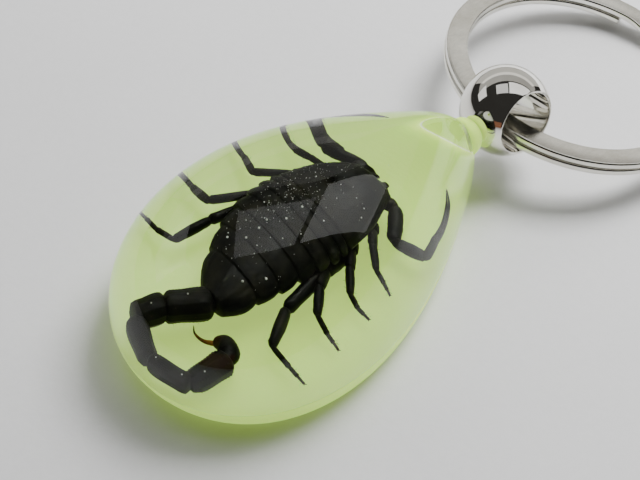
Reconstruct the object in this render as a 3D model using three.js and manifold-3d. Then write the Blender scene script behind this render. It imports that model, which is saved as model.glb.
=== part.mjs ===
// A scorpion keyring: a domed resin drop on a milky back layer, with a scorpion cast inside,
// a bored metal ball on a pin in its tip, and a flat split ring through the ball.
// Millimetres, +Z up. The origin is on the flat back, under the dome's crown, and +X runs to the ring.
import * as THREE from 'three';
import { mergeVertices } from 'three/addons/utils/BufferGeometryUtils.js';
import Module from 'manifold-3d';

const wasm = await Module();
wasm.setup();

// The drop
const dropLength = 46.4;
const roundEndReach = 24.6;                    // from the origin back to the round end
const outlineWeights = [37.0, 30.9, 27.1, 10.7]; // full widths that pull the outline, round end to tip
const domeHeight = 18.4;
const rimHeight = 4;                           // where the drop is widest
const domePower = 2.45;                        // higher is flatter on top and steeper at the rim
const backInset = 0.06;                        // how far the rounded back edge draws in
const backTop = 3.4;                           // top of the milky back layer
const partingHeight = 5.2;                     // where the clear resin is parted, along the limbs
const outlineSteps = 42;
const crownScale = 0.02;                       // the small flat on the dome's crown

// The ball, its pin and the ring
const ballRadius = 5.15;
const ballCentre = new THREE.Vector3(26.6, 0, 8.1);
const ballRoll = -11;                          // degrees about the drop's axis, near mouth up
const boreRadius = 3.6;
const mouthReach = 3.35;                       // from the ball's centre to the flat face round each mouth
const boreLip = 0.15;                          // rounding where the bore meets that face
const pinRadius = 1.25;
const pinDepth = 2.6;                          // how far the pin reaches into the resin
const pinWall = 0.45;                          // of the ball left between the pin and the bore
const castGap = 0.3;                           // room around the pin and around the scorpion
const ringOuterRadius = 16;
const ringWidth = 2.6;
const turnThickness = 0.85;
const turnGap = 0.1;                           // between the ring's two turns
const ringChamfer = 0.28;
const ringDrop = 1.12;                         // ring's middle below the ball's centre
const ringShift = -0.77;                       // and towards the drop
const ringYaw = 5.4;                           // degrees
const ringPitch = 11.2;                        // degrees, far side down on the table
const ringRoll = 4.2;                          // degrees
const ringStepsPerTurn = 36;
const rampHalf = 0.22;                         // radians each side of the far point, where the wire climbs
const endGap = 0.27;                           // radians from the far point to each of the wire's ends

// The scorpion. Points are [x, y, z], and radii are half the width of a limb.
const carapace = [                             // x, half width, middle height, half height
  [6.2, 1.0, 5.9, 0.7], [5.8, 1.6, 6.0, 1.2], [4.4, 2.3, 6.2, 1.7],
  [2.2, 3.4, 6.3, 2.0], [-0.7, 4.25, 6.35, 2.15],
];
const plateLengths = [0.9, 1.2, 1.5, 1.8, 2.0, 2.3, 3.2];
const plateWidths = [4.45, 4.6, 4.6, 4.45, 4.1, 3.3, 1.5]; // half width at the back of each plate
const plateHeights = [2.2, 2.25, 2.25, 2.2, 2.05, 1.8, 1.25];
const bodyMiddle = [6.35, 6.0];                // height of the middle at the first plate and the last
const plateStep = 0.14;                        // a plate's back edge over the next one's front
const spine = { from: -0.5, rise: 2.0, start: -14, length: 11 }; // the body's middle line, from tail to head
const tail = [
  { from: [-13.8, -0.3, 6.0], to: [-16.9, 1.9, 5.9], radius: 1.45 },
  { from: [-17.1, 2.2, 5.8], to: [-19.8, 3.3, 5.7], radius: 1.42 },
  { from: [-20.3, 2.9, 5.6], to: [-22.4, -0.6, 5.5], radius: 1.36 },
  { from: [-22.5, -1.3, 5.5], to: [-21.5, -5.3, 5.4], radius: 1.3 },
  { from: [-20.9, -5.5, 5.4], to: [-16.6, -5.2, 5.4], radius: 1.25 },
];
const telson = { points: [[-16.6, -5.2, 5.4], [-15.6, -4.7, 5.4], [-15.3, -3.8, 5.4], [-15.8, -3.0, 5.3]],
  radii: [0.5, 1.02, 1.0, 0.5] };
const sting = { points: [[-15.8, -3.1, 5.3], [-16.4, -2.1, 5.2], [-16.2, -1.1, 5.0], [-15.7, -0.4, 4.8]],
  radii: [0.5, 0.34, 0.22, 0.06] };
const clawArms = [
  { points: [[4.6, 0.6, 5.6], [5.8, -0.5, 5.4], [3.2, -2.9, 5.3], [5.4, -6.0, 5.3]],
    radii: [0.65, 0.55, 0.58, 0.56] },
  { points: [[5.0, 2.2, 5.6], [6.7, 3.0, 5.4], [5.3, 6.1, 5.4], [5.5, 6.8, 6.4]],
    radii: [0.75, 0.68, 0.66, 0.6] },
];
const clawHands = [
  { points: [[5.0, -5.8, 5.3], [6.1, -6.0, 5.3], [7.5, -5.3, 5.3], [8.7, -4.6, 5.2]],
    radii: [0.4, 0.72, 0.7, 0.35] },
  { points: [[5.3, 6.4, 5.8], [5.7, 6.8, 7.0], [6.2, 6.6, 8.6], [6.8, 6.1, 9.9]],
    radii: [0.4, 0.72, 0.7, 0.35] },
];
const clawFingers = [
  { points: [[7.3, -5.5, 5.2], [9.7, -4.5, 5.2], [11.5, -2.5, 5.1], [12.3, -0.3, 5.1]],
    radii: [0.45, 0.34, 0.26, 0.08] },
  { points: [[7.3, -5.1, 5.2], [9.4, -4.2, 5.2], [11.2, -2.4, 5.1], [12.2, -0.3, 5.1]],
    radii: [0.45, 0.3, 0.24, 0.08] },
  { points: [[6.1, 6.8, 8.3], [7.5, 5.8, 11.2], [9.2, 4.1, 12.9], [10.6, 1.8, 13.4]],
    radii: [0.45, 0.34, 0.26, 0.08] },
  { points: [[6.3, 6.4, 8.3], [7.5, 5.4, 11.0], [9.1, 3.8, 12.75], [10.6, 1.8, 13.3]],
    radii: [0.45, 0.3, 0.24, 0.08] },
];
const mouthparts = [
  { points: [[5.0, 1.0, 6.0], [6.1, 0.95, 5.9], [6.7, 1.0, 5.7]], radii: [0.6, 0.55, 0.25] },
  { points: [[5.0, 1.9, 6.0], [6.1, 1.95, 5.9], [6.7, 1.9, 5.7]], radii: [0.6, 0.55, 0.25] },
];
const legs = [
  [[2.9, -0.9, 5.2], [1.4, -2.5, 5.4], [0.2, -4.1, 4.9], [0.0, -6.4, 4.1]],
  [[0.2, -1.6, 5.2], [-1.7, -3.4, 5.4], [-3.2, -5.0, 4.9], [-3.1, -7.6, 4.1]],
  [[-1.8, -1.7, 5.2], [-5.0, -3.7, 5.4], [-6.8, -5.3, 4.9], [-7.3, -9.0, 4.1]],
  [[-1.4, -2.1, 5.2], [-8.8, -4.1, 5.5], [-11.9, -5.8, 4.9], [-12.1, -10.9, 4.1]],
  [[4.1, 3.4, 5.3], [3.4, 5.8, 5.5], [2.8, 7.4, 4.9], [2.5, 9.8, 4.1]],
  [[2.2, 4.6, 5.3], [-2.0, 7.7, 5.5], [-1.4, 8.9, 4.9], [-1.2, 11.0, 4.1]],
  [[-0.6, 4.5, 5.4], [-7.0, 7.8, 5.5], [-6.8, 9.4, 4.9], [-6.3, 11.4, 4.1]],
  [[-3.4, 5.0, 5.4], [-8.2, 6.2, 5.5], [-11.6, 6.8, 5.1], [-11.1, 11.0, 4.1]],
];
const legRadii = [0.48, 0.42, 0.34, 0.12];

function material(color, roughness, metalness = 0, opacity = 1) {
  return new THREE.MeshStandardMaterial({ color, roughness, metalness, opacity, transparent: opacity < 1 });
}

function toManifold(geometry) {
  const bare = geometry.clone();
  bare.deleteAttribute('normal');
  bare.deleteAttribute('uv');
  const merged = mergeVertices(bare, 1e-4);
  return new wasm.Manifold(new wasm.Mesh({
    numProp: 3,
    vertProperties: new Float32Array(merged.attributes.position.array),
    triVerts: new Uint32Array(merged.index.array),
  }));
}

function toGeometry(manifold) {
  const mesh = manifold.getMesh();
  const geometry = new THREE.BufferGeometry();
  geometry.setAttribute('position', new THREE.BufferAttribute(mesh.vertProperties, 3));
  geometry.setIndex(new THREE.BufferAttribute(mesh.triVerts, 1));
  geometry.computeVertexNormals();
  return geometry;
}

// Skins a list of closed rings of points, each with as many points as the next, and caps both ends.
function skin(rings) {
  const count = rings[0].length;
  const points = rings.flat();
  const triangles = [];
  for (let i = 0; i < rings.length - 1; i += 1) {
    for (let k = 0; k < count; k += 1) {
      const a = i * count + k;
      const b = i * count + (k + 1) % count;
      triangles.push(a, b, b + count, a, b + count, a + count);
    }
  }
  const last = (rings.length - 1) * count;
  for (let k = 1; k < count - 1; k += 1) {
    triangles.push(0, k + 1, k);
    triangles.push(last, last + k, last + k + 1);
  }
  const geometry = new THREE.BufferGeometry().setFromPoints(points);
  geometry.setIndex(triangles);
  return geometry;
}

// The drop's outline at a turn t: blunt at one end, drawn to a small tip at the other.
function outlinePoint(turn, scale, z) {
  const u = (1 - Math.cos(turn)) / 2;
  const v = 1 - u;
  const [a, b, c, d] = outlineWeights;
  const width = a * v ** 3 + 3 * b * v * v * u + 3 * c * v * u * u + d * u ** 3;
  const x = dropLength * u - roundEndReach;
  const y = Math.sin(turn) / 2 * width;
  return new THREE.Vector3(x * scale, -y * scale, z);
}

function outlineRing(scale, z) {
  const turns = Array.from({ length: outlineSteps }, (_, k) => (k / outlineSteps) * Math.PI * 2);
  return turns.map((turn) => outlinePoint(turn, scale, z));
}

function edgeScale(z) {
  return 1 - backInset * (1 - z / rimHeight) ** 2;
}

function domeZ(scale) {
  return rimHeight + (domeHeight - rimHeight) * Math.sqrt(1 - scale ** domePower);
}

function glowBacking() {
  const heights = [0, 0.5, 1.4, backTop];
  return skin(heights.map((z) => outlineRing(edgeScale(z), z)));
}

function clearDome() {
  const scales = [0.985, 0.95, 0.89, 0.8, 0.68, 0.53, 0.36, 0.16];
  const rings = [outlineRing(edgeScale(backTop), backTop), outlineRing(1, rimHeight)];
  scales.forEach((scale) => rings.push(outlineRing(scale, domeZ(scale))));
  rings.push(outlineRing(crownScale, domeZ(crownScale)));
  return skin(rings);
}

// The factor that takes a ring of flat sides out to where the sides clear the round it stands for.
function flatSides(sides, grow) {
  return grow > 0 ? 1 / Math.cos(Math.PI / sides) : 1;
}

// How much wider a ring stands at a bend, for the gap to stay whole on both of its sides.
function bendRoom(before, point, after) {
  const turn = point.clone().sub(before).angleTo(after.clone().sub(point));
  return 1 / Math.max(Math.cos(turn / 2), 0.4);
}

// A limb is a run of round rings across a path, with a ring at each point, grown by the given gap.
function limb(points, radii, sides, grow = 0) {
  const path = points.map((point) => new THREE.Vector3(...point));
  const first = path[0].clone().sub(path[1]).setLength(grow);
  const lastPoint = path[path.length - 1];
  const final = lastPoint.clone().sub(path[path.length - 2]).setLength(grow);
  path[0].add(first);
  lastPoint.add(final);
  const up = new THREE.Vector3(0, 0, 1);
  return toManifold(skin(path.map((point, i) => {
    const before = path[Math.max(i - 1, 0)];
    const after = path[Math.min(i + 1, path.length - 1)];
    const along = after.clone().sub(before).normalize();
    const side = new THREE.Vector3().crossVectors(up, along).normalize();
    const over = new THREE.Vector3().crossVectors(along, side);
    const inner = i > 0 && i < path.length - 1;
    const room = grow * (inner ? bendRoom(before, point, after) : 1);
    return Array.from({ length: sides }, (_, k) => {
      const angle = (k / sides) * Math.PI * 2;
      const ring = side.clone().multiplyScalar(Math.cos(angle)).addScaledVector(over, Math.sin(angle));
      return point.clone().addScaledVector(ring, (radii[i] + room) * flatSides(sides, grow));
    });
  })));
}

function spineY(x) {
  const along = THREE.MathUtils.clamp((x - spine.start) / spine.length, 0, 1);
  return spine.from + spine.rise * Math.sin(Math.PI / 2 * along);
}

// One ring across the body: rounder above than below.
function bodyRing(x, halfWidth, middle, halfHeight, sides, grow) {
  const out = flatSides(sides, grow);
  return Array.from({ length: sides }, (_, k) => {
    const angle = (k / sides) * Math.PI * 2;
    const rise = Math.sin(angle) * (Math.sin(angle) > 0 ? 1 : 0.8);
    const y = spineY(x) - Math.cos(angle) * (halfWidth + grow) * out;
    return new THREE.Vector3(x, y, middle + rise * (halfHeight + grow) * out);
  });
}

function bodyManifold(sides, grow) {
  const rings = carapace.map(([x, halfWidth, middle, halfHeight], i) => (
    bodyRing(x + (i === 0 ? grow : 0), halfWidth, middle, halfHeight, sides, grow)
  ));
  let [x, lastWidth, middle, lastHeight] = carapace[carapace.length - 1];
  plateLengths.forEach((length, i) => {
    if (grow === 0) {
      rings.push(bodyRing(x - 0.06, lastWidth - plateStep, middle, lastHeight - plateStep, sides, grow));
    }
    x -= length;
    lastWidth = plateWidths[i];
    lastHeight = plateHeights[i];
    middle = THREE.MathUtils.lerp(...bodyMiddle, (i + 1) / plateLengths.length);
    const end = i === plateLengths.length - 1 ? x - grow : x;
    rings.push(bodyRing(end, lastWidth, middle, lastHeight, sides, grow));
  });
  return toManifold(skin(rings));
}

function tailSegment({ from, to, radius }, sides, grow) {
  const start = new THREE.Vector3(...from);
  const end = new THREE.Vector3(...to);
  const stops = grow > 0 ? [-0.1, 1.1] : [-0.1, 0.08, 0.5, 0.9, 1.1];
  const swell = grow > 0 ? [1, 1] : [0.62, 0.94, 0.9, 1.04, 0.62];
  const points = stops.map((stop) => start.clone().lerp(end, stop).toArray());
  return limb(points, swell.map((part) => part * radius), sides, grow);
}

// The whole animal as one solid. With a gap given, the same animal grown by it, plainer, for its pocket.
function scorpionManifold(grow = 0) {
  const fine = grow === 0;
  const limbSides = fine ? 6 : 5;
  const pieces = [bodyManifold(fine ? 16 : 10, grow)];
  tail.forEach((segment) => pieces.push(tailSegment(segment, fine ? 8 : 6, grow)));
  [telson, ...clawHands].forEach((lump) => pieces.push(limb(lump.points, lump.radii, fine ? 8 : 6, grow)));
  [sting, ...clawArms, ...clawFingers, ...mouthparts].forEach((part) => {
    pieces.push(limb(part.points, part.radii, limbSides, grow));
  });
  legs.forEach((points) => pieces.push(limb(points, legRadii, limbSides, grow)));
  return pieces.reduce((whole, piece) => whole.add(piece));
}

function cylinderAlongX(radius, fromX, toX, y, z, sides) {
  const geometry = new THREE.CylinderGeometry(radius, radius, toX - fromX, sides);
  geometry.rotateZ(Math.PI / 2);
  geometry.translate((fromX + toX) / 2, y, z);
  return toManifold(geometry);
}

// A block wider than the drop, between two heights.
function slab(bottom, top) {
  const geometry = new THREE.BoxGeometry(dropLength * 2, dropLength * 2, top - bottom);
  geometry.translate(0, 0, (bottom + top) / 2);
  return toManifold(geometry);
}

const pinMouth = ballCentre.x - ballRadius;    // the ball's near side
const pinEnd = pinMouth - pinDepth;

function clearResin() {
  const hole = cylinderAlongX(pinRadius + castGap, pinEnd - castGap, pinMouth + 2, 0, ballCentre.z, 14);
  return toManifold(clearDome()).subtract(scorpionManifold(castGap)).subtract(hole);
}

// The ball is turned round its bore, so its section closes on itself, and the pin is brazed into its wall.
function boredBall() {
  const start = Math.asin(mouthReach / ballRadius);
  const section = [];
  const arcSteps = 10;
  for (let i = 0; i <= arcSteps; i += 1) {
    const angle = THREE.MathUtils.lerp(-start, start, i / arcSteps);
    section.push(new THREE.Vector2(ballRadius * Math.cos(angle), ballRadius * Math.sin(angle)));
  }
  section.push(new THREE.Vector2(boreRadius + boreLip, mouthReach));
  section.push(new THREE.Vector2(boreRadius, mouthReach - boreLip));
  section.push(new THREE.Vector2(boreRadius, -mouthReach + boreLip));
  section.push(new THREE.Vector2(boreRadius + boreLip, -mouthReach));
  section.push(section[0].clone());
  const ball = toManifold(new THREE.LatheGeometry(section, 36));
  const pin = cylinderAlongX(pinRadius, -ballRadius - pinDepth, -boreRadius - pinWall, 0, 0, 12);
  return ball.add(pin);
}

// The ring is one flat wire wound twice, and it climbs from the lower turn to the upper one on its far side.
function splitRing() {
  const side = ringWidth / 2;
  const face = turnThickness / 2;
  const section = [                              // [outwards, upwards], from the top face round the outside
    [-side + ringChamfer, face], [side - ringChamfer, face], [side, face - ringChamfer],
    [side, -face + ringChamfer], [side - ringChamfer, -face], [-side + ringChamfer, -face],
    [-side, -face + ringChamfer], [-side, face - ringChamfer],
  ];
  const middle = ringOuterRadius - side;
  const steps = ringStepsPerTurn * 2;
  return skin(Array.from({ length: steps + 1 }, (_, i) => {
    const angle = THREE.MathUtils.lerp(endGap, Math.PI * 4 - endGap, i / steps);
    const climb = THREE.MathUtils.smoothstep(angle, Math.PI * 2 - rampHalf, Math.PI * 2 + rampHalf);
    const lift = (climb - 0.5) * (turnThickness + turnGap);
    return section.map(([out, up]) => new THREE.Vector3(
      (middle + out) * Math.cos(angle), (middle + out) * Math.sin(angle), lift + up,
    ));
  }));
}

function named(name, geometry, look) {
  const mesh = new THREE.Mesh(geometry, look);
  mesh.name = name;
  return mesh;
}

const part = new THREE.Group();
const resinLook = material(0xdfe8c8, 0.05, 0, 0.35);
const metalLook = material(0xc9c8c0, 0.08, 1);

const resin = clearResin();
part.add(named('glow_backing', glowBacking(), material(0xb4c48c, 0.35)));
part.add(named('clear_resin_lower', toGeometry(resin.intersect(slab(0, partingHeight))), resinLook));
const upperResin = resin.intersect(slab(partingHeight, domeHeight + 1));
part.add(named('clear_resin_upper', toGeometry(upperResin), resinLook));
part.add(named('scorpion', toGeometry(scorpionManifold()), material(0x0c0d0a, 0.35)));

const ball = named('ball', toGeometry(boredBall()), metalLook);
ball.position.copy(ballCentre);
ball.rotation.x = THREE.MathUtils.degToRad(ballRoll);
part.add(ball);

// The ring turns about its own point inside the bore, and lies over to the table on its far side.
const ringSeat = new THREE.Group();
ringSeat.position.copy(ballCentre);
ringSeat.rotation.set(0, THREE.MathUtils.degToRad(ringPitch), THREE.MathUtils.degToRad(ringYaw), 'ZYX');
const ring = named('ring', splitRing(), metalLook);
ring.position.set(ringOuterRadius - ringWidth / 2 + ringShift, 0, -ringDrop);
ring.rotation.x = THREE.MathUtils.degToRad(ringRoll);
ringSeat.add(ring);
part.add(ringSeat);

export default part;
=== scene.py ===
import math

import bpy
import numpy as np
from mathutils import Matrix, Vector


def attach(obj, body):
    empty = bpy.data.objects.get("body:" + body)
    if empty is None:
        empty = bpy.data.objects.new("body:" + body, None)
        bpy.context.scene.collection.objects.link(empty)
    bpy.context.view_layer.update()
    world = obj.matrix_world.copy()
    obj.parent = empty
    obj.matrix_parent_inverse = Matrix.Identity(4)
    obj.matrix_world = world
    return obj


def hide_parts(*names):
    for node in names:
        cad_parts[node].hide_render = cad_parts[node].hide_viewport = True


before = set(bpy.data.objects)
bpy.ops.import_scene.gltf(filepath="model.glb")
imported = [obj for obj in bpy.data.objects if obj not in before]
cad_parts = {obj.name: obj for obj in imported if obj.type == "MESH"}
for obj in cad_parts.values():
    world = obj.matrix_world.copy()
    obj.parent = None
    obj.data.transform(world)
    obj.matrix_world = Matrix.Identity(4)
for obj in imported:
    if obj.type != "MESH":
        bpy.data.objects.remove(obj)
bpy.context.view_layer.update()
mm = 0.001
pi = math.pi
print("stage: frame loaded")


# A surface is a dictionary of points in millimetres, quads, triangles and one number a point called tint.

# Quads between the rows of a grid of points, the last column meeting the first, and a fan at each end.
# Rows run along the shape and columns run round it, turning to the right about the way the rows run.
def gridSurface(grid, ringed=False):
    rows, columns = grid.shape[:2]
    index = np.arange(rows * columns).reshape(rows, columns)
    onward = np.roll(index, -1, axis=1)
    if ringed:
        below, above = index, np.roll(index, -1, axis=0)
        belowOn, aboveOn = onward, np.roll(onward, -1, axis=0)
    else:
        below, above, belowOn, aboveOn = index[:-1], index[1:], onward[:-1], onward[1:]
    quads = np.stack([below, belowOn, aboveOn, above], axis=-1).reshape(-1, 4)
    points = grid.reshape(-1, 3)
    triangles = np.zeros((0, 3), int)
    if not ringed:
        first, last = len(points), len(points) + 1
        points = np.vstack([points, grid[0].mean(0), grid[-1].mean(0)])
        front = np.stack([onward[0], index[0], np.full(columns, first)], axis=-1)
        back = np.stack([index[-1], onward[-1], np.full(columns, last)], axis=-1)
        triangles = np.vstack([front, back])
    return {"points": points, "quads": quads, "triangles": triangles, "tint": np.zeros(len(points))}


def joined(surfaces):
    starts = np.cumsum([0] + [len(s["points"]) for s in surfaces[:-1]])
    return {
        "points": np.vstack([s["points"] for s in surfaces]),
        "quads": np.vstack([s["quads"] + start for s, start in zip(surfaces, starts)]),
        "triangles": np.vstack([s["triangles"] + start for s, start in zip(surfaces, starts)]),
        "tint": np.concatenate([s["tint"] for s in surfaces]),
    }


def makePiece(name, surface, material, body, replaced=()):
    mesh = bpy.data.meshes.new(name)
    points, quads, triangles = surface["points"] * mm, surface["quads"], surface["triangles"]
    loops = np.concatenate([quads.ravel(), triangles.ravel()]).astype(np.int32)
    starts = np.concatenate([np.arange(len(quads)) * 4, len(quads) * 4 + np.arange(len(triangles)) * 3])
    mesh.vertices.add(len(points))
    mesh.vertices.foreach_set("co", points.astype(np.float32).ravel())
    mesh.loops.add(len(loops))
    mesh.loops.foreach_set("vertex_index", loops)
    mesh.polygons.add(len(starts))
    mesh.polygons.foreach_set("loop_start", starts.astype(np.int32))
    mesh.polygons.foreach_set("use_smooth", np.ones(len(starts), bool))
    mesh.update(calc_edges=True)
    mesh.validate()
    tint = mesh.attributes.new("tint", "FLOAT", "POINT")
    tint.data.foreach_set("value", surface["tint"].astype(np.float32))
    piece = bpy.data.objects.new(name, mesh)
    bpy.context.scene.collection.objects.link(piece)
    mesh.materials.append(material)
    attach(piece, body)
    if replaced:
        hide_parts(*replaced)
    print("piece:", name, len(quads) * 2 + len(triangles), "triangles")
    return piece


# A smooth path through a few points: between two points the middle two of four neighbours pull it (Catmull-Rom).
def smoothPath(points, count):
    points = np.asarray(points, float)
    padded = np.vstack([2 * points[0] - points[1], points, 2 * points[-1] - points[-2]])
    place = np.linspace(0, len(points) - 1, count)
    step = np.minimum(place.astype(int), len(points) - 2)
    t = (place - step)[:, None]
    a, b, c, d = (padded[step + k] for k in range(4))
    return 0.5 * (2 * b + (c - a) * t + (2 * a - 5 * b + 4 * c - d) * t**2 + (3 * b - a - 3 * c + d) * t**3)


# Rings across a path: each ring is side * cos * radius + over * sin * radius * flat, times (1 + ridge).
def sweep(path, radii, sides, flat=1.0, ridge=0.0):
    along = np.gradient(path, axis=0)
    along /= np.linalg.norm(along, axis=1)[:, None]
    side = np.cross((0.0, 0.0, 1.0), along)
    side /= np.linalg.norm(side, axis=1)[:, None]
    over = np.cross(along, side)
    angle = np.arange(sides) / sides * 2 * pi
    reach = np.asarray(radii)[:, None] * (1 + ridge)
    width = (reach * np.cos(angle))[:, :, None] * side[:, None, :]
    height = (reach * flat * np.sin(angle))[:, :, None] * over[:, None, :]
    return gridSurface(path[:, None, :] + width + height)


class Field:
    def __init__(self, graph, socket):
        self.graph = graph
        self.socket = socket

    def __add__(self, other):
        return self.graph.maths("ADD", self, other)

    def __rsub__(self, other):
        return self.graph.maths("SUBTRACT", other, self)

    def __mul__(self, other):
        return self.graph.maths("MULTIPLY", self, other)

    __radd__ = __add__
    __rmul__ = __mul__


class Graph:
    def __init__(self, name):
        self.material = bpy.data.materials.new(name)
        self.material.use_nodes = True
        self.tree = self.material.node_tree
        self.tree.nodes.clear()

    # One node: settings are set first, then the sockets take values or links. Stops fill a colour ramp.
    def node(self, kind, settings=None, inputs=None, stops=None):
        made = self.tree.nodes.new(kind)
        for key, value in (settings or {}).items():
            setattr(made, key, value)
        if stops:
            ramp = made.color_ramp
            while len(ramp.elements) < len(stops):
                ramp.elements.new(0.5)
            for element, (place, colour) in zip(ramp.elements, stops):
                element.position = place
                element.color = (*colour, 1) if len(colour) == 3 else colour
        for key, value in (inputs or {}).items():
            target = made.inputs[key]
            if isinstance(value, Field):
                self.tree.links.new(value.socket, target)
            else:
                target.default_value = value
        return made

    def out(self, made, name):
        return Field(self, made.outputs[name])

    def maths(self, operation, a, b):
        made = self.node("ShaderNodeMath", {"operation": operation}, {0: a, 1: b})
        return self.out(made, "Value")

    def place(self):
        return self.out(self.node("ShaderNodeTexCoord"), "Object")

    def stretched(self, scale):
        return self.out(self.node("ShaderNodeMapping", None, {"Vector": self.place(), "Scale": scale}), "Vector")

    def noise(self, scale, detail, roughness, vector=None):
        made = self.node("ShaderNodeTexNoise", None, {
            "Vector": vector or self.place(), "Scale": scale, "Detail": detail, "Roughness": roughness})
        return self.out(made, "Fac")

    def cells(self, scale):
        made = self.node("ShaderNodeTexVoronoi", {"feature": "F1"}, {"Vector": self.place(), "Scale": scale})
        return self.out(made, "Distance")

    def attribute(self, name):
        return self.out(self.node("ShaderNodeAttribute", {"attribute_name": name}), "Fac")

    def ramp(self, value, stops):
        return self.out(self.node("ShaderNodeValToRGB", None, {"Fac": value}, stops), "Color")

    # A number taken from one range to another and kept inside it.
    def ranged(self, value, low, high, toLow=0.0, toHigh=1.0):
        made = self.node("ShaderNodeMapRange", {"clamp": True}, {
            "Value": value, "From Min": low, "From Max": high, "To Min": toLow, "To Max": toHigh})
        return self.out(made, "Result")

    def mix(self, factor, a, b):
        made = self.node("ShaderNodeMix", {"data_type": "RGBA"}, {0: factor, 6: a, 7: b})
        return Field(self, made.outputs[2])

    def bump(self, height, strength, distance):
        made = self.node("ShaderNodeBump", None, {
            "Height": height, "Strength": strength, "Distance": distance})
        return self.out(made, "Normal")

    def finish(self, inputs, volume=None):
        surface = self.node("ShaderNodeBsdfPrincipled", None, inputs)
        output = self.node("ShaderNodeOutputMaterial")
        self.tree.links.new(surface.outputs["BSDF"], output.inputs["Surface"])
        if volume:
            inside = self.node("ShaderNodeVolumeAbsorption", None, volume)
            self.tree.links.new(inside.outputs["Volume"], output.inputs["Volume"])
        return self.material


resinLook = {"ior": 1.5, "roughness": 0.012, "tint": (0.90, 1.0, 0.74, 1), "density": 14.0, "ripple": 0.02}


def clearResin():
    g = Graph("clearResin")
    ripple = g.noise(60, 2.0, 0.4)
    return g.finish({
        "Base Color": (1, 1, 1, 1),
        "Roughness": resinLook["roughness"],
        "IOR": resinLook["ior"],
        "Transmission Weight": 1.0,
        "Normal": g.bump(ripple, resinLook["ripple"], 0.002),
    }, {"Color": resinLook["tint"], "Density": resinLook["density"]})


# The milky resin's emission is painted light: a strong glow that fills the shade under the animal and evens out the
# lit green, though the resin is no lamp. The deep and pale colours are darkened to make room for it.
milkyLook = {
    "deep": (0.27, 0.43, 0.05), "pale": (0.33, 0.48, 0.09), "light": (0.55, 0.80, 0.16), "roughness": 0.38,
    "shadowLiftGlow": 0.9, "scatter": 0.8, "scatterDepth": 0.006,
}


def milkyResin():
    g = Graph("milkyResin")
    cloud = g.noise(90, 3.0, 0.5)
    grain = g.noise(2600, 2.0, 0.5)
    colour = g.ramp(cloud * 0.8 + grain * 0.2, [(0.35, milkyLook["deep"]), (0.7, milkyLook["pale"])])
    return g.finish({
        "Base Color": colour,
        "Roughness": g.ranged(grain, 0.3, 0.7, milkyLook["roughness"] - 0.05, milkyLook["roughness"] + 0.07),
        "Subsurface Weight": milkyLook["scatter"],
        "Subsurface Radius": (0.8, 1.0, 0.4),
        "Subsurface Scale": milkyLook["scatterDepth"],
        # Painted light: emission that lifts the shade under the animal.
        "Emission Color": (*milkyLook["light"], 1),
        "Emission Strength": milkyLook["shadowLiftGlow"],
        "IOR": 1.45,
        "Normal": g.bump(grain, 0.08, 0.0002),
    })


shellLook = {"black": (0.0025, 0.003, 0.002), "olive": (0.016, 0.015, 0.008), "amber": (0.30, 0.13, 0.015)}


def scorpionShell():
    g = Graph("scorpionShell")
    blotch = g.noise(420, 4.0, 0.6)
    granule = g.cells(1800)
    pores = g.noise(3200, 2.0, 0.5)
    dark = g.ramp(blotch, [(0.42, shellLook["black"]), (0.8, shellLook["olive"])])
    colour = g.mix(g.ranged(g.attribute("tint"), 0.0, 1.0), dark, (*shellLook["amber"], 1))
    height = (1 - granule) * 0.7 + pores * 0.3
    return g.finish({
        "Base Color": colour,
        "Roughness": g.ranged(blotch + pores * 0.3, 0.4, 0.9, 0.38, 0.6),
        "IOR": 1.15,
        "Normal": g.bump(height, 0.04, 0.00005),
    })


metalLook = {"bright": (0.86, 0.85, 0.80), "dull": (0.74, 0.72, 0.66), "roughness": 0.035}


def polishedMetal():
    g = Graph("polishedMetal")
    stain = g.noise(300, 3.0, 0.5)
    marks = g.noise(4200, 2.0, 0.6, g.stretched((1.0, 0.12, 1.0)))
    colour = g.ramp(stain, [(0.35, metalLook["bright"]), (0.75, metalLook["dull"])])
    return g.finish({
        "Base Color": colour,
        "Metallic": 1.0,
        "Roughness": g.ranged(marks, 0.45, 0.75, metalLook["roughness"], metalLook["roughness"] + 0.06),
        "Normal": g.bump(stain, 0.02, 0.0002),
    })


wireLook = {"bright": (0.80, 0.79, 0.73), "dull": (0.66, 0.64, 0.57), "roughness": 0.16}


def ringMetal():
    g = Graph("ringMetal")
    stain = g.noise(240, 4.0, 0.55)
    scratch = g.noise(3500, 3.0, 0.6, g.stretched((0.2, 1.0, 1.0)))
    colour = g.ramp(stain, [(0.35, wireLook["bright"]), (0.75, wireLook["dull"])])
    return g.finish({
        "Base Color": colour,
        "Metallic": 1.0,
        "Roughness": g.ranged(scratch + stain * 0.3, 0.4, 0.9, wireLook["roughness"], wireLook["roughness"] + 0.1),
        "Normal": g.bump(scratch, 0.06, 0.00008),
    })


def pearlySocket():
    g = Graph("pearlySocket")
    cloud = g.noise(700, 3.0, 0.5)
    colour = g.ramp(cloud, [(0.3, (0.55, 0.58, 0.52)), (0.7, (0.86, 0.88, 0.84))])
    return g.finish({
        "Base Color": colour,
        "Metallic": 0.35,
        "Roughness": g.ranged(cloud, 0.3, 0.7, 0.2, 0.4),
        "Normal": g.bump(cloud, 0.1, 0.0002),
    })


# The bubbles' pale colour is a painted highlight: whitish diffuse balls stand in for the light that trapped air
# catches.
def airSpeckPaintedGlint():
    g = Graph("airSpeckPaintedGlint")
    cloud = g.noise(5000, 1.0, 0.5)
    colour = g.ramp(cloud, [(0.3, (0.75, 0.78, 0.72)), (0.7, (0.95, 0.97, 0.92))])
    return g.finish({"Base Color": colour, "Roughness": g.ranged(cloud, 0.3, 0.7, 0.3, 0.5)})


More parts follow.
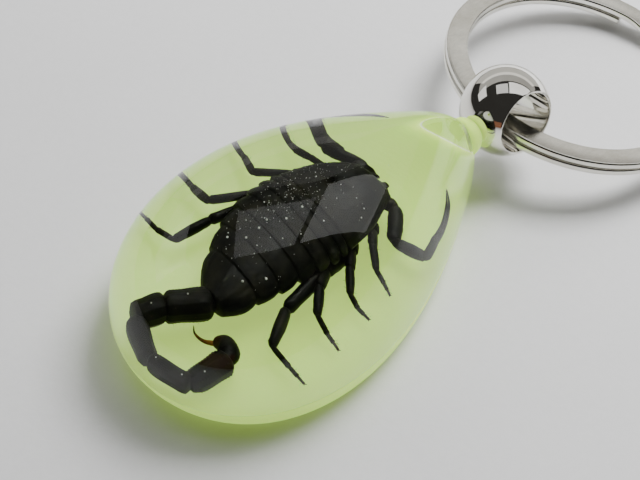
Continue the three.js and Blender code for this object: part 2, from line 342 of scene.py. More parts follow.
def paperFloor():
    g = Graph("paperFloor")
    mottle = g.noise(14, 5.0, 0.6)
    fibre = g.noise(900, 3.0, 0.6)
    colour = g.ramp(mottle * 0.7 + fibre * 0.3, [(0.3, (0.60, 0.60, 0.605)), (0.7, (0.66, 0.66, 0.665))])
    return g.finish({
        "Base Color": colour,
        "Roughness": 0.7,
        "Normal": g.bump(fibre, 0.08, 0.0003),
    })


look = {
    "clear": clearResin(), "milky": milkyResin(), "shell": scorpionShell(), "ball": polishedMetal(),
    "wire": ringMetal(), "socket": pearlySocket(), "air": airSpeckPaintedGlint(), "floor": paperFloor(),
}
nodeLooks = {"glow_backing": "milky", "clear_resin_lower": "clear", "clear_resin_upper": "clear",
             "scorpion": "shell", "ball": "ball", "ring": "wire"}
for nodeName, lookName in nodeLooks.items():
    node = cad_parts[nodeName]
    node.data.materials.clear()
    node.data.materials.append(look[lookName])
print("stage: materials made")


drop = {
    "length": 46.4, "roundEndReach": 24.6, "weights": (37.0, 30.9, 27.1, 10.7), "height": 18.4,
    "rimHeight": 4.0, "power": 2.45, "backInset": 0.06, "backTop": 3.4, "columns": 256,
    "collarWidth": 2.3, "collarLow": 5.0, "collarHigh": 4.9, "collarFrom": 17.8, "collarBlend": 2.8,
    "collarRise": 3.0, "collarLean": 0.11,
}


# The outline at a turn t: x = length * (1 - cos t) / 2 - reach, and y = sin t / 2 times a cubic of weights.
def outline(turn):
    u = (1 - np.cos(turn)) / 2
    v = 1 - u
    a, b, c, d = drop["weights"]
    width = a * v**3 + 3 * b * v * v * u + 3 * c * v * u * u + d * u**3
    return np.stack([drop["length"] * u - drop["roundEndReach"], -np.sin(turn) / 2 * width], axis=-1)


# A stack of outlines: row i is the outline times scale i, at height i.
def stackedOutline(scales, heights, columns):
    turn = np.arange(columns) / columns * 2 * pi
    flat = outline(turn)[None, :, :] * np.asarray(scales)[:, None, None]
    rise = np.broadcast_to(np.asarray(heights)[:, None, None], flat.shape[:2] + (1,))
    return np.concatenate([flat, rise], axis=-1)


def edgeScale(z):
    return 1 - drop["backInset"] * (1 - z / drop["rimHeight"]) ** 2


# At the tip the dome is drawn up round the pin, to a collar of height low + high * exp(-(y / wide)^2). The lift
# comes in along x and up z as the square of each share s, times (3 - 2s).
def drawnUp(grid):
    x, y, z = grid[..., 0], grid[..., 1], grid[..., 2]
    over = np.exp(-((y / drop["collarWidth"]) ** 2))
    collar = drop["collarLow"] + drop["collarHigh"] * over
    start = np.clip((x - drop["collarFrom"]) / drop["collarBlend"], 0, 1)
    above = np.clip((z - drop["rimHeight"]) / drop["collarRise"], 0, 1)
    lift = np.clip(collar - z, 0, None) * start * start * (3 - 2 * start) * above * above * (3 - 2 * above)
    return np.stack([x - drop["collarLean"] * lift, y, z + lift], axis=-1)


# The dome: scale = cos(a)^(2 / power) and height = rim + (crown - rim) * sin(a), from the rim up to the crown.
def domeShape():
    sideHeight = np.linspace(drop["backTop"] - 0.06, drop["rimHeight"], 5)[:-1]
    lift = np.linspace(0, pi / 2, 72)[:-1]
    lift = np.append(lift, pi / 2 - 0.004)
    inner = np.array([0.02, 0.5, 0.9, 0.97])
    bottom = edgeScale(sideHeight[0])
    scales = np.concatenate([inner * bottom, edgeScale(sideHeight), np.cos(lift) ** (2 / drop["power"])])
    rise = drop["rimHeight"] + (drop["height"] - drop["rimHeight"]) * np.sin(lift)
    heights = np.concatenate([np.full(4, sideHeight[0]), sideHeight, rise])
    return gridSurface(drawnUp(stackedOutline(scales, heights, drop["columns"])))


# The milky back: the same outline from the table up, its top a hair inside the clear resin's foot.
def backShape():
    heights = np.array([0.0, 0.0, 0.0, 0.0, 0.05, 0.18, 0.4, 0.8, 1.4, 2.1, 2.8, 3.25, 3.36, 3.4, 3.4, 3.4, 3.4])
    draw = np.array([0.02, 0.5, 0.9, 0.985, 0.994, 0.998, 1, 1, 1, 1, 1, 1, 0.9985, 0.994, 0.9, 0.5, 0.02])
    return gridSurface(stackedOutline(draw * edgeScale(heights) * 0.9995, heights, drop["columns"]))


makePiece("clearDome", domeShape(), look["clear"], "drop",
          ("clear_resin_lower", "clear_resin_upper"))
makePiece("milkyBack", backShape(), look["milky"], "drop", ("glow_backing",))
print("stage: resin drop made")


animal = {
    "carapace": [(6.2, 1.0, 5.9, 0.7), (5.8, 1.6, 6.0, 1.2), (4.4, 2.3, 6.2, 1.7), (2.2, 3.4, 6.3, 2.0),
                 (-0.7, 4.25, 6.35, 2.15)],
    "plateLengths": (0.9, 1.2, 1.5, 1.8, 2.0, 2.3, 3.2),
    "plateWidths": (4.45, 4.6, 4.6, 4.45, 4.1, 3.3, 1.5),
    "plateHeights": (2.2, 2.25, 2.25, 2.2, 2.05, 1.8, 1.25),
    "plateStep": 0.16, "sideStep": 0.34,
    "spineFrom": -0.5, "spineRise": 2.0, "spineStart": -14.0, "spineLength": 11.0,
    "grain": 0.02,
}
tail = [
    ((-13.8, -0.3, 6.0), (-16.9, 1.9, 5.9), 1.45),
    ((-17.1, 2.2, 5.8), (-19.8, 3.3, 5.7), 1.42),
    ((-20.3, 2.9, 5.6), (-22.4, -0.6, 5.5), 1.36),
    ((-22.5, -1.3, 5.5), (-21.5, -5.3, 5.4), 1.3),
    ((-20.9, -5.5, 5.4), (-16.6, -5.2, 5.4), 1.25),
]
stingBulb = [(-16.9, -5.3, 5.4), (-16.2, -5.0, 5.4), (-15.6, -4.7, 5.4), (-15.3, -3.8, 5.4), (-15.8, -2.9, 5.3)]
stingHook = [(-15.7, -3.3, 5.3), (-16.35, -2.3, 5.2), (-16.3, -1.2, 5.0), (-15.7, -0.4, 4.8)]
clawArms = [
    [(4.6, 0.6, 5.6), (5.8, -0.5, 5.4), (3.2, -2.9, 5.3), (5.4, -6.0, 5.3)],
    [(5.0, 2.2, 5.6), (6.7, 3.0, 5.4), (5.3, 6.1, 5.4), (5.5, 6.8, 6.4)],
]
clawHands = [
    [(5.0, -5.8, 5.3), (6.1, -6.0, 5.3), (7.5, -5.3, 5.3), (8.7, -4.6, 5.2)],
    [(5.3, 6.4, 5.8), (5.7, 6.8, 7.0), (6.2, 6.6, 8.6), (6.8, 6.1, 9.9)],
]
clawFingers = [
    ([(7.3, -5.5, 5.2), (9.7, -4.5, 5.2), (11.5, -2.5, 5.1), (12.3, -0.3, 5.1)], (0.42, 0.31, 0.24, 0.05)),
    ([(7.3, -5.1, 5.2), (9.4, -4.0, 5.2), (11.1, -2.2, 5.1), (12.2, -0.3, 5.1)], (0.42, 0.28, 0.22, 0.05)),
    ([(6.1, 6.8, 8.3), (7.5, 5.8, 11.2), (9.2, 4.1, 12.9), (10.6, 1.8, 13.4)], (0.42, 0.31, 0.24, 0.05)),
    ([(6.3, 6.4, 8.3), (7.5, 5.3, 10.9), (9.1, 3.7, 12.6), (10.6, 1.8, 13.3)], (0.42, 0.28, 0.22, 0.05)),
]
legs = [
    [(2.9, -0.9, 5.2), (1.4, -2.5, 5.4), (0.2, -4.1, 4.9), (0.1, -5.2, 4.5), (0.0, -6.4, 4.1)],
    [(0.2, -1.6, 5.2), (-1.7, -3.4, 5.4), (-3.2, -5.0, 4.9), (-3.4, -6.2, 4.5), (-3.1, -7.6, 4.1)],
    [(-1.8, -1.7, 5.2), (-5.0, -3.7, 5.4), (-6.8, -5.3, 4.9), (-7.2, -7.1, 4.5), (-7.3, -9.0, 4.1)],
    [(-1.4, -2.1, 5.2), (-8.8, -4.1, 5.5), (-11.9, -5.8, 4.9), (-12.0, -8.3, 4.5), (-12.1, -10.9, 4.1)],
    [(4.1, 3.4, 5.3), (3.4, 5.8, 5.5), (2.8, 7.4, 4.9), (2.8, 8.4, 4.5), (2.5, 9.8, 4.1)],
    [(2.2, 4.6, 5.3), (-2.0, 7.7, 5.5), (-1.4, 8.9, 4.9), (-1.3, 9.8, 4.5), (-1.2, 11.0, 4.1)],
    [(-0.6, 4.5, 5.4), (-7.0, 7.8, 5.5), (-6.8, 9.4, 4.9), (-6.5, 10.3, 4.5), (-6.3, 11.4, 4.1)],
    [(-3.4, 5.0, 5.4), (-8.2, 6.2, 5.5), (-11.6, 6.8, 5.1), (-11.7, 8.6, 4.6), (-11.1, 11.0, 4.1)],
]
legSizes = (0.34, 0.36, 0.4, 0.48)
seed = np.random.default_rng(11)


def spineY(x):
    along = np.clip((x - animal["spineStart"]) / animal["spineLength"], 0, 1)
    return animal["spineFrom"] + animal["spineRise"] * np.sin(pi / 2 * along)


# The body: rings across it, y = spine - cos(a) * half width and z = middle + sin(a) * half height.
# Each back plate swells to its rear edge and steps in to the next, with low keels along it and a fine grain.
def bodyShape():
    knots = np.array(animal["carapace"])
    front = smoothPath(knots, 46)
    rows = [front]
    x, width, middle, height = knots[-1]
    count = len(animal["plateLengths"])
    for i, length in enumerate(animal["plateLengths"]):
        u = np.array([0.0, 0.04, 0.1, 0.2, 0.32, 0.45, 0.58, 0.7, 0.8, 0.88, 0.94, 0.975, 1.0])[:, None]
        newWidth, newHeight = animal["plateWidths"][i], animal["plateHeights"][i]
        ease = 1 - (1 - u) ** 1.5 if newWidth > width - 0.5 else u**1.5
        step, sideStep = animal["plateStep"], animal["sideStep"]
        newMiddle = 6.35 - 0.35 * (i + 1) / count
        bulge = (0.12 + 0.2 * (i == count - 1)) * np.sin(pi * u)
        rows.append(np.hstack([
            x - 0.05 - (length - 0.05) * u,
            width - sideStep + (newWidth - width + sideStep) * ease + bulge,
            middle + (newMiddle - middle) * u,
            height - step + (newHeight - height + step) * ease + 0.05 * np.sin(pi * u),
        ]))
        x, width, middle, height = x - length, newWidth, newMiddle, newHeight
    stations = np.vstack(rows)
    stations = np.vstack([stations, [x - 0.12, width * 0.8, middle, height * 0.8]])
    columns = 120
    angle = np.arange(columns) / columns * 2 * pi
    cosine, sine = np.cos(angle), np.sin(angle)
    outward = np.sign(cosine) * np.abs(cosine) ** 0.92
    upward = np.where(sine > 0, np.abs(sine) ** 0.9, -0.8 * np.abs(sine))
    across = stations[:, 1:2]
    rough = seed.normal(size=(len(stations), columns)) * animal["grain"] * np.where(sine > 0, 1, 0.4)
    onPlates = np.clip((-0.7 - stations[:, 0:1]) / 1.5, 0, 1)
    keel = 0.07 * np.exp(-((angle - pi / 2) / 0.07) ** 2) * onPlates
    keel = keel + 0.05 * np.exp(-((np.abs(angle - pi / 2) - 0.55) / 0.06) ** 2) * onPlates
    furrow = -0.13 * np.exp(-((angle - pi / 2) / 0.1) ** 2) * (1 - onPlates)
    eyeHill = 0.3 * np.exp(-((angle - pi / 2) / 0.22) ** 2 - ((stations[:, 0:1] - 2.5) / 0.55) ** 2)
    swell = keel + furrow + eyeHill + rough
    y = spineY(stations[:, 0:1]) - outward * (across + swell)
    z = stations[:, 2:3] + upward * (stations[:, 3:4] + swell)
    grid = np.stack([np.broadcast_to(stations[:, 0:1], y.shape), y, z], axis=-1)
    return gridSurface(grid)


# One joint of a limb from a to b: its radius goes from one end's to the other's, fuller in the middle by swell,
# and rounds off to nothing at both ends as (1 - |2u - 1|^8)^(1/2).
def limbJoint(a, b, radiusA, radiusB, swell=0.1, flat=1.15, sides=16, rows=15, reach=0.18, knob=0.12):
    a, b = np.asarray(a, float), np.asarray(b, float)
    way = (b - a) / np.linalg.norm(b - a)
    a, b = a - way * reach, b + way * reach
    turn = np.linspace(0, pi, rows)
    u = (1 - np.cos(turn)) / 2 * 0.9998 + 0.0001
    path = a + (b - a) * u[:, None]
    body = radiusA + (radiusB - radiusA) * u + swell * np.sin(pi * u) ** 2 * radiusA
    body = body * (1 + knob * np.exp(-((u - 0.88) / 0.07) ** 2))
    radii = body * np.sqrt(1 - np.abs(2 * u - 1) ** 8)
    rough = seed.normal(size=(rows, sides)) * 0.025
    return sweep(path, radii, sides, flat, rough)


# A joint of the tail: a tube with ten keels round it, each a row of beads, waisted at both ends.
def tailJoint(start, end, radius, beads):
    start, end = np.asarray(start, float), np.asarray(end, float)
    way = (end - start) * 0.11
    start, end = start - way, end + way
    rows, sides = 52, 80
    turn = np.linspace(0, pi, rows)
    u = (1 - np.cos(turn)) / 4 + turn / pi / 2
    u = u * 0.9998 + 0.0001
    path = start + (end - start) * u[:, None]
    body = radius * (0.84 + 0.2 * u + 0.06 * np.sin(2 * pi * u))
    radii = body * np.sqrt(1 - np.abs(2 * u - 1) ** 9)
    angle = np.arange(sides) / sides * 2 * pi
    ridge = np.zeros((rows, sides))
    for place in (0.38, 1.0, 1.72, 2.4, 3.0, 3.7, 4.4, 5.02, 5.6, 6.1):
        line = np.exp(-((angle - place) / 0.075) ** 2)
        ridge += line * (0.04 + beads * (0.5 + 0.5 * np.cos(2 * pi * 15 * u + place * 3))[:, None])
    ridge += seed.normal(size=ridge.shape) * 0.0015
    return sweep(path, radii, sides, 1.0, ridge)


# A smooth limb through points, its radius carried from point to point, with round ends.
def bentLimb(points, radii, rows=34, sides=24, flat=1.0, roughness=0.004, tint=None):
    path = smoothPath(points, rows)
    place = np.linspace(0, len(radii) - 1, rows)
    size = np.interp(place, np.arange(len(radii)), radii)
    u = np.linspace(0, 1, rows)
    ends = np.sqrt(1 - np.abs(2 * (u * 0.998 + 0.001) - 1) ** 14)
    made = sweep(path, size * ends, sides, flat, seed.normal(size=(rows, sides)) * roughness)
    if tint is not None:
        shade = np.repeat(np.interp(u, np.linspace(0, 1, len(tint)), tint), sides)
        made["tint"] = np.concatenate([shade, [tint[0], tint[-1]]])
    return made


def ballAt(centre, radius, rows=9, sides=12):
    turn = np.linspace(0.02, pi - 0.02, rows)
    angle = -np.arange(sides) / sides * 2 * pi
    ring = np.stack([np.sin(turn)[:, None] * np.cos(angle), np.sin(turn)[:, None] * np.sin(angle),
                     np.broadcast_to(np.cos(turn)[:, None], (rows, sides))], axis=-1)
    return gridSurface(np.asarray(centre) + ring * radius)


# A leg has a short hip, a broad thigh, a broad shin, and three thin joints to the foot with its two claws.
def legShape(points, size):
    hip, knee, ankle, bend, toe = (np.asarray(p, float) for p in points)
    thighStart = hip + (knee - hip) * 0.3
    foot = toe - bend
    middle = bend + foot * 0.45
    side = np.cross(foot, (0, 0, 1))
    side /= np.linalg.norm(side)
    joints = [
        limbJoint(hip, thighStart, size * 1.3, size * 1.15, 0.1),
        limbJoint(thighStart, knee, size * 0.86, size, 0.12, 1.3),
        limbJoint(knee, ankle, size * 0.95, size * 0.78, 0.14, 1.25),
        limbJoint(ankle, bend, 0.24, 0.22, 0.1, 1.1, 12, 13, 0.1, 0.25),
        limbJoint(bend, middle, 0.2, 0.18, 0.05, 1.1, 12, 13, 0.08, 0.3),
        limbJoint(middle, toe - foot * 0.06, 0.15, 0.12, 0.0, 1.0, 10, 11, 0.06, 0.25),
    ]
    for sign in (-1, 1):
        tip = toe + foot * 0.04 + side * sign * 0.16
        joints.append(limbJoint(toe - foot * 0.06, tip, 0.06, 0.025, 0.0, 1.0, 8, 7, 0.02, 0.0))
    return joints


def clawShape(arm, hand, fingers, size):
    shoulder, elbow, wrist, end = (np.asarray(p, float) for p in arm)
    joints = [
        limbJoint(shoulder, elbow, size * 1.3, size * 1.15, 0.1, 1.0, 20, 17, 0.15, 0.1),
        limbJoint(elbow, wrist, size, size * 1.1, 0.14, 1.05, 24, 21, 0.16, 0.1),
        limbJoint(wrist, end, size, size, 0.2, 1.05, 24, 21, 0.18, 0.08),
        bentLimb(hand, (0.35, 0.66, 0.64, 0.36), 34, 28, 1.0),
    ]
    return joints + [bentLimb(path, radii, 40, 18, 1.1) for path, radii in fingers]


def scorpionShape():
    parts = [bodyShape()]
    parts += [tailJoint(*segment, beads=0.085 if i == 4 else 0.03) for i, segment in enumerate(tail)]
    parts.append(bentLimb(stingBulb, (0.5, 0.8, 0.98, 0.86, 0.42), 40, 30, 1.0, 0.014, (0, 0, 0, 0, 0.15)))
    parts.append(bentLimb(stingHook, (0.26, 0.16, 0.1, 0.03), 40, 18, 1.0, 0.004, (0.8, 0.35, 0.05, 0.0)))
    for i in range(2):
        parts += clawShape(clawArms[i], clawHands[i], clawFingers[2 * i:2 * i + 2], (0.5, 0.62)[i])
    for i, points in enumerate(legs):
        parts += legShape(points, legSizes[i % 4])
    for y in (1.0, 2.0):
        parts.append(limbJoint((5.0, y, 6.0), (6.2, y, 5.9), 0.56, 0.5, 0.1, 1.0, 18, 15))
        parts.append(limbJoint((6.2, y, 5.85), (6.6, y + (0.12 if y < 1.5 else -0.12), 5.7), 0.26, 0.16, 0.1))
    eyeX, eyeZ = 2.5, 8.55
    parts += [ballAt((eyeX, spineY(eyeX) + side * 0.26, eyeZ), 0.2) for side in (-1, 1)]
    for side in (-1, 1):
        parts += [ballAt((5.2 - 0.32 * k, spineY(5.2) + side * (1.55 + 0.16 * k), 6.7 + 0.04 * k), 0.1)
                  for k in range(3)]
    return joined(parts)


scorpion = scorpionShape()
makePiece("scorpionShell", scorpion, look["shell"], "drop", ("scorpion",))


# Bristles: thin three-sided spikes standing out of the limbs, each a base triangle and a point.
bristle = {"count": 520, "shortest": 0.22, "longest": 0.5, "radius": 0.018}


def bristleShape():
    count = bristle["count"]
    lines = [(p[k], p[k + 1], 0.3 if k < 2 else 0.18) for p in legs for k in range(1, 4)]
    lines += [(arm[k], arm[k + 1], 0.48) for arm in clawArms for k in range(1, 3)]
    lines += [(hand[1], hand[2], 0.62) for hand in clawHands] + [(a, b, r) for a, b, r in tail]
    pick = seed.integers(0, len(lines), count)
    start = np.array([line[0] for line in lines])[pick]
    end = np.array([line[1] for line in lines])[pick]
    radius = np.array([line[2] for line in lines])[pick][:, None]
    way = (end - start) / np.linalg.norm(end - start, axis=1)[:, None]
    side = np.cross(way, (0, 0, 1.0))
    side /= np.linalg.norm(side, axis=1)[:, None]
    over = np.cross(side, way)
    angle = seed.uniform(0, 2 * pi, (count, 1))
    out = side * np.cos(angle) + over * np.sin(angle)
    turnAway = np.cross(way, out)
    root = start + (end - start) * seed.uniform(0.05, 0.95, (count, 1)) + out * radius * 0.92
    tip = root + (out + way * seed.uniform(-0.1, 0.6, (count, 1))) * seed.uniform(
        bristle["shortest"], bristle["longest"], (count, 1))
    base = [root + bristle["radius"] * (way * np.cos(t) + turnAway * np.sin(t)) for t in (0, 2 * pi / 3, 4 * pi / 3)]
    points = np.stack([*base, tip], axis=1).reshape(-1, 3)
    corner = np.arange(count)[:, None] * 4
    faces = np.vstack([corner + np.array(f) for f in ((0, 2, 1), (0, 1, 3), (1, 2, 3), (2, 0, 3))])
    return {"points": points, "quads": np.zeros((0, 4), int), "triangles": faces,
            "tint": np.full(len(points), 0.15)}


makePiece("bristles", bristleShape(), look["shell"], "drop")
print("stage: scorpion made")


# Air specks: small round bubbles over the animal's back, most of them very small and in one wide cluster. Their
# whitish colour is a painted glint, the light that each bubble catches.
specks = {"count": 330, "smallest": 0.018, "largest": 0.06, "big": 0.1, "cluster": (-1.2, 2.6), "spread": (3.6, 1.6)}
tailBubbles = [(-21.9, -5.0, 6.8), (-19.6, -5.9, 6.7), (-22.6, -1.9, 6.9), (-15.4, 1.0, 7.4), (-18.6, 2.6, 7.3)]
bubbles = [(-5.5, 1.8), (-4.0, 0.8), (-6.6, 1.6), (-8.1, 1.6), (-9.2, 2.9), (-11.0, -1.3), (-9.1, -2.2), (-2.0, 0.9)]


# Height of the animal's back: middle + half height * (1 - across^2)^0.45, where across is from -1 to 1.
def backHeight(x, y):
    knots = np.array(animal["carapace"])[::-1]
    ends = -0.7 - np.cumsum(animal["plateLengths"])
    places = np.concatenate([ends[::-1], knots[:, 0]])
    widths = np.concatenate([animal["plateWidths"][::-1], knots[:, 1]])
    heights = np.concatenate([animal["plateHeights"][::-1], knots[:, 3]])
    across = (y - spineY(x)) / np.interp(x, places, widths)
    inside = np.clip(1 - across**2, 0, 1)
    return 6.3 + np.interp(x, places, heights) * inside**0.45, inside > 0.04


def speckShape():
    count = specks["count"]
    many = count * 3 // 4
    x = np.concatenate([seed.normal(specks["cluster"][0], specks["spread"][0], many),
                        seed.uniform(-11.5, 5.5, count - many)])
    y = np.concatenate([seed.normal(specks["cluster"][1], specks["spread"][1], many),
                        seed.uniform(-3.0, 5.5, count - many)])
    z, onBack = backHeight(x, y)
    radii = specks["smallest"] + (specks["largest"] - specks["smallest"]) * seed.uniform(0, 1, count) ** 5
    lift = 0.05 + seed.uniform(0, 0.2, count)
    spots = [ballAt((a, b, c), r, 5, 7)
             for a, b, c, r in zip(x[onBack], y[onBack], (z + lift)[onBack], radii[onBack])]
    for place in bubbles:
        spots.append(ballAt((*place, backHeight(*np.array(place))[0] + 0.1), specks["big"], 9, 14))
    for place in tailBubbles:
        spots.append(ballAt(place, specks["big"] * 0.7, 7, 10))
    return joined(spots)


makePiece("airSpecks", speckShape(), look["air"], "drop")
print("stage: specks made")


ball = {
    "centre": (26.6, 0.0, 8.1), "radius": 5.15, "bore": 3.6, "mouth": 3.35, "lip": 0.15, "roll": -11.0,
    "pinRadius": 1.25, "pinDepth": 2.6, "wall": 0.45, "columns": 160,
}


def turnAboutX(points, degrees):
    c, s = math.cos(math.radians(degrees)), math.sin(math.radians(degrees))
    return points @ np.array([[1, 0, 0], [0, c, s], [0, -s, c]])


# The ball's wall: its section goes round the sphere's arc, over each rounded mouth and back through the bore.
def ballShape():
    reach, bore, mouth, lip = ball["radius"], ball["bore"], ball["mouth"], ball["lip"]
    edge = math.asin(mouth / reach)
    arc = np.linspace(-edge, edge, 64)
    outer = np.stack([reach * np.cos(arc), reach * np.sin(arc)], axis=-1)
    turn = np.linspace(0, pi / 2, 9)[1:]
    outerLip = reach * math.cos(edge)
    blend = np.stack([outerLip - (outerLip - bore - lip) * np.linspace(0, 1, 5)[1:-1],
                      np.full(3, mouth) + np.array([0.03, 0.035, 0.02])], axis=-1)
    top = np.stack([bore + lip - lip * np.sin(turn), mouth - lip + lip * np.cos(turn)], axis=-1)
    inner = np.stack([np.full(20, bore), np.linspace(mouth - lip, -mouth + lip, 22)[1:-1]], axis=-1)
    section = np.vstack([outer, blend, [[bore + lip, mouth]], top, inner, (top * (1, -1))[::-1],
                         [[bore + lip, -mouth]], (blend * (1, -1))[::-1]])
    angle = -np.arange(ball["columns"]) / ball["columns"] * 2 * pi
    rows = section[:, 0][None, :] * np.cos(angle)[:, None]
    deep = section[:, 0][None, :] * np.sin(angle)[:, None]
    grid = np.stack([rows, np.broadcast_to(section[:, 1][None, :], rows.shape), deep], axis=-1)
    made = gridSurface(grid, ringed=True)
    made["points"] = turnAboutX(made["points"], ball["roll"]) + np.array(ball["centre"])
    return made


def roundBar(start, end, radius, sides=40, rounding=0.2):
    along = np.array([0, 0.02, 0.08, 0.18, 0.3, 0.5, 0.7, 0.82, 0.92, 0.98, 1])
    path = np.asarray(start) + (np.asarray(end) - np.asarray(start)) * along[:, None]
    trim = 1 - rounding * np.array([1, 0.5, 0.12, 0, 0, 0, 0, 0, 0.12, 0.5, 1])
    return sweep(path, radius * trim, sides)


makePiece("boredBall", ballShape(), look["ball"], "drop", ("ball",))
centre = np.array(ball["centre"])
pinTip = centre[0] - ball["radius"] - ball["pinDepth"]
pinEnd = centre[0] - ball["bore"] - ball["wall"]
makePiece("pin", roundBar((pinTip, 0, centre[2]), (pinEnd, 0, centre[2]), ball["pinRadius"]),
          look["ball"], "drop")

# The pearly film round the pin's sunk end, and the collar of green resin that closes up to the ball.
socket = {"before": 0.1, "end": 20.2, "film": 0.12, "rounding": 0.6}
collar = {"places": (20.1, 20.5, 21.0, 21.35, 21.6), "radii": (2.3, 2.25, 2.1, 1.85, 1.6), "height": 8.0, "sides": 48}
socketBar = roundBar((pinTip - socket["before"], 0, centre[2]), (socket["end"], 0, centre[2]),
                     ball["pinRadius"] + socket["film"], 40, socket["rounding"])
makePiece("pinSocket", socketBar, look["socket"], "drop")
collarPath = np.array([[x, 0, collar["height"]] for x in collar["places"]])
# The collar uses the milky resin, including its painted shade-lifting emission.
makePiece("resinCollar", sweep(collarPath, collar["radii"], collar["sides"]), look["milky"], "drop")
print("stage: ball made")


splitRing = {
    "outer": 16.0, "width": 2.6, "thick": 0.85, "gap": 0.1, "corner": 0.27, "drop": 1.12, "shift": -0.77,
    "yaw": 5.4, "pitch": 11.2, "roll": 4.2, "rampHalf": 0.22, "endGap": 0.27, "rows": 640,
}


# The wire: a rounded rectangle carried twice round a circle, which climbs by a turn's height at the far point.
def ringShape():
    half, face, corner = splitRing["width"] / 2, splitRing["thick"] / 2, splitRing["corner"]
    bend = np.linspace(0, pi / 2, 7)
    quarter = np.stack([np.sin(bend), np.cos(bend)], axis=-1) * corner
    cornerAt = np.array([half - corner, face - corner])
    section = np.vstack([
        [[0.0, face]], quarter + cornerAt, (quarter * (1, -1))[::-1] + cornerAt * (1, -1),
        [[0.0, -face]], -quarter - cornerAt, (quarter * (-1, 1))[::-1] + cornerAt * (-1, 1)])
    angle = np.linspace(splitRing["endGap"], 4 * pi - splitRing["endGap"], splitRing["rows"])
    u = np.clip((angle - 2 * pi + splitRing["rampHalf"]) / (2 * splitRing["rampHalf"]), 0, 1)
    climb = u * u * (3 - 2 * u)
    lift = (climb - 0.5) * (splitRing["thick"] + splitRing["gap"])
    middle = splitRing["outer"] - half
    out = middle + section[:, 0][None, :]
    grid = np.stack([out * np.cos(angle)[:, None], out * np.sin(angle)[:, None],
                     lift[:, None] + section[:, 1][None, :]], axis=-1)
    made = gridSurface(grid)
    turned = Matrix.Rotation(math.radians(splitRing["yaw"]), 3, "Z") @ Matrix.Rotation(
        math.radians(splitRing["pitch"]), 3, "Y")
    seat = np.array([middle + splitRing["shift"], 0, -splitRing["drop"]])
    local = turnAboutX(made["points"], splitRing["roll"]) + seat
    made["points"] = local @ np.array(turned).T + np.array(ball["centre"])
    return made


makePiece("flatRing", ringShape(), look["wire"], "ring", ("ring",))
print("stage: ring made")


floorReach = 1.2
floorMesh = bpy.data.meshes.new("floor")
floorCorners = [(x * floorReach, y * floorReach, 0) for x, y in ((-1, -1), (1, -1), (1, 1), (-1, 1))]
floorMesh.from_pydata(floorCorners, [], [(0, 1, 2, 3)])
floor = bpy.data.objects.new("floor", floorMesh)
bpy.context.scene.collection.objects.link(floor)
floorMesh.materials.append(look["floor"])

# The viewing angle in degrees, the focal length in pixels of a picture 640 wide, and lengths in millimetres.
view = {"elevation": 51.213, "azimuth": -40.805, "roll": 1.441, "focal": 1742.15, "pictureWidth": 640,
        "right": 18.851, "up": 15.638, "distance": 180.0}


def makeCamera():
    e, a, r = (math.radians(view[k]) for k in ("elevation", "azimuth", "roll"))
    right = Vector((math.cos(a), math.sin(a), 0))
    back = Vector((math.sin(a) * math.cos(e), -math.cos(a) * math.cos(e), math.sin(e)))
    up = back.cross(right)
    rolledRight = math.cos(r) * right + math.sin(r) * up
    rolledUp = -math.sin(r) * right + math.cos(r) * up
    place = back * view["distance"] + rolledRight * view["right"] + rolledUp * view["up"]
    place.x -= drop["roundEndReach"]
    camera = bpy.data.cameras.new("camera")
    camera.sensor_width = 36
    camera.lens = view["focal"] / view["pictureWidth"] * camera.sensor_width
    camera.clip_start, camera.clip_end = 0.01, 20
    seen = bpy.data.objects.new("camera", camera)
    turn = Matrix((rolledRight, rolledUp, back)).transposed().to_4x4()
    seen.matrix_world = Matrix.Translation(place * mm) @ turn
    bpy.context.scene.collection.objects.link(seen)
    bpy.context.scene.camera = seen


makeCamera()

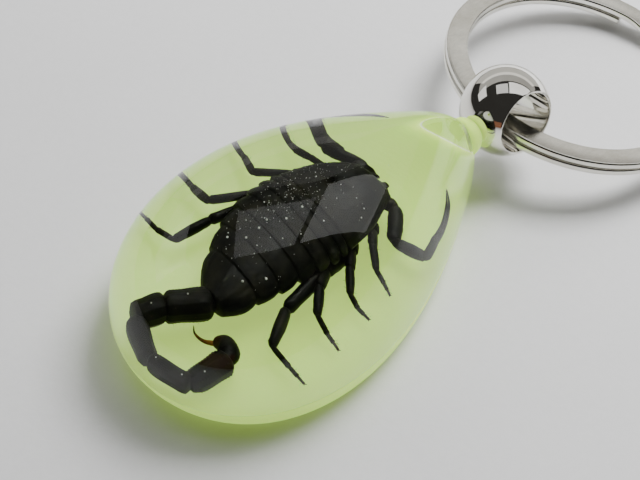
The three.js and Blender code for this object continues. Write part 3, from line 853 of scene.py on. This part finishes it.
# Lamps are placed by three lengths from the origin: to the right of the picture, away from the viewer, and up.
# The panes are the room's window. The lamps marked unseen light the floor and the resin and show in no reflection,
# and the warm one only shows in reflections and lights nothing.
lamps = [
    {"name": "paneLeft", "at": (-0.085, 0.13, 0.5), "size": (0.24, 0.24), "radiance": 0.8, "facing": "down"},
    {"name": "paneRight", "at": (0.37, 0.155, 0.5), "size": (0.62, 0.29), "radiance": 1.35, "facing": "down"},
    {"name": "paneSide", "at": (-0.9, 0.27, 0.5), "size": (0.75, 0.42), "radiance": 1.1, "facing": "down"},
    {"name": "farWall", "at": (0.1, 1.25, 0.4), "size": (2.6, 0.8), "radiance": 0.62, "colour": (1, 0.98, 0.93)},
    {"name": "farCeiling", "at": (0.1, 0.72, 0.5), "size": (2.4, 0.76), "radiance": 0.42, "colour": (1, 0.98, 0.93),
     "facing": "down"},
    {"name": "sideWall", "at": (1.3, 0.1, 0.35), "size": (1.2, 0.6), "radiance": 0.3, "colour": (1, 0.98, 0.93)},
    {"name": "warmLow", "at": (-0.22, -0.5, 0.06), "size": (0.26, 0.16), "radiance": 0.22, "colour": (1, 0.35, 0.14)},
    {"name": "softLeft", "at": (-0.55, 0.7, 0.9), "size": (0.9, 0.9), "radiance": 1.1, "unseen": True},
    {"name": "softRight", "at": (0.45, 0.6, 0.7), "size": (0.8, 0.8), "radiance": 2.6, "unseen": True},
    {"name": "nearRight", "at": (0.13, 0.15, 0.25), "size": (0.15, 0.15), "radiance": 25.0, "facing": "down",
     "unseen": True},
]


def makeLamps():
    turn = math.radians(view["azimuth"])
    right, away = Vector((math.cos(turn), math.sin(turn), 0)), Vector((-math.sin(turn), math.cos(turn), 0))
    for lamp in lamps:
        light = bpy.data.lights.new(lamp["name"], "AREA")
        light.shape = "RECTANGLE"
        light.size, light.size_y = lamp["size"]
        light.energy = lamp["radiance"] * pi * light.size * light.size_y
        light.color = lamp.get("colour", (1, 1, 1))
        made = bpy.data.objects.new(lamp["name"], light)
        across, ahead, height = lamp["at"]
        made.location = right * across + away * ahead + Vector((0, 0, height))
        facing = Vector((0, 0, 1)) if lamp.get("facing") == "down" else made.location.normalized()
        sideways = right - facing * right.dot(facing)
        sideways.normalize()
        upward = facing.cross(sideways)
        turned = Matrix((sideways, upward, facing)).transposed().to_4x4()
        made.matrix_world = Matrix.Translation(made.location) @ turned
        made.visible_camera = False
        made.visible_glossy = not lamp.get("unseen", False)
        made.visible_diffuse = made.visible_transmission = not lamp["name"].startswith("warm")
        bpy.context.scene.collection.objects.link(made)


makeLamps()

room = {"colour": (1.0, 0.97, 0.92, 1), "strength": 0.035}
world = bpy.data.worlds.new("room")
bpy.context.scene.world = world
world.use_nodes = True
backdrop = world.node_tree.nodes["Background"]
backdrop.inputs["Color"].default_value = room["colour"]
backdrop.inputs["Strength"].default_value = room["strength"]
print("stage: floor, light and camera made")
